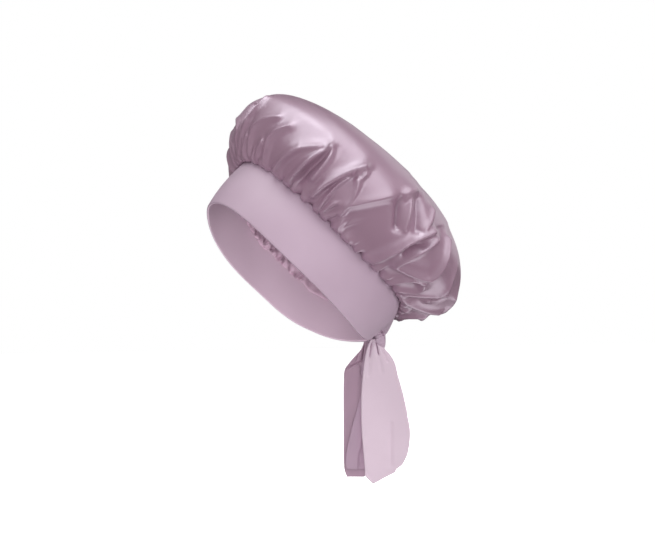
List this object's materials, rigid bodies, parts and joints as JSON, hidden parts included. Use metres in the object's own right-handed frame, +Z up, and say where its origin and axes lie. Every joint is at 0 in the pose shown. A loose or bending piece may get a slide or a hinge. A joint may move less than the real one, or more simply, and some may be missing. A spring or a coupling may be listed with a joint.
{
  "type": "sleep bonnet",
  "caption": "Puffed satin sleep bonnet: a hollow gathered crown on a wide tilted band, tied at the nape in a knot with a leaf-shaped and a folded hanging tail.",
  "frame": {"origin": "middle of the ring on which the band's lower edge lies, where the head goes in", "axes": "+Z up as worn, -Y towards the wearer's face, +X towards the wearer's left; the ring leans back by 41.3 degrees"},
  "size_m": [0.2327, 0.2411, 0.3633],
  "materials": {
    "crown_satin": "glossy satin, mauve",
    "band_satin": "matte satin, dusty lilac",
    "knot_satin": "matte satin, dusty lilac",
    "tail_satin": "matte satin, pale lilac"
  },
  "bodies": {
    "root": {"crown": "crown_satin", "band": "band_satin", "knot": "knot_satin", "tail_near": "tail_satin", "tail_far": "tail_satin"}
  },
  "joints": []
}
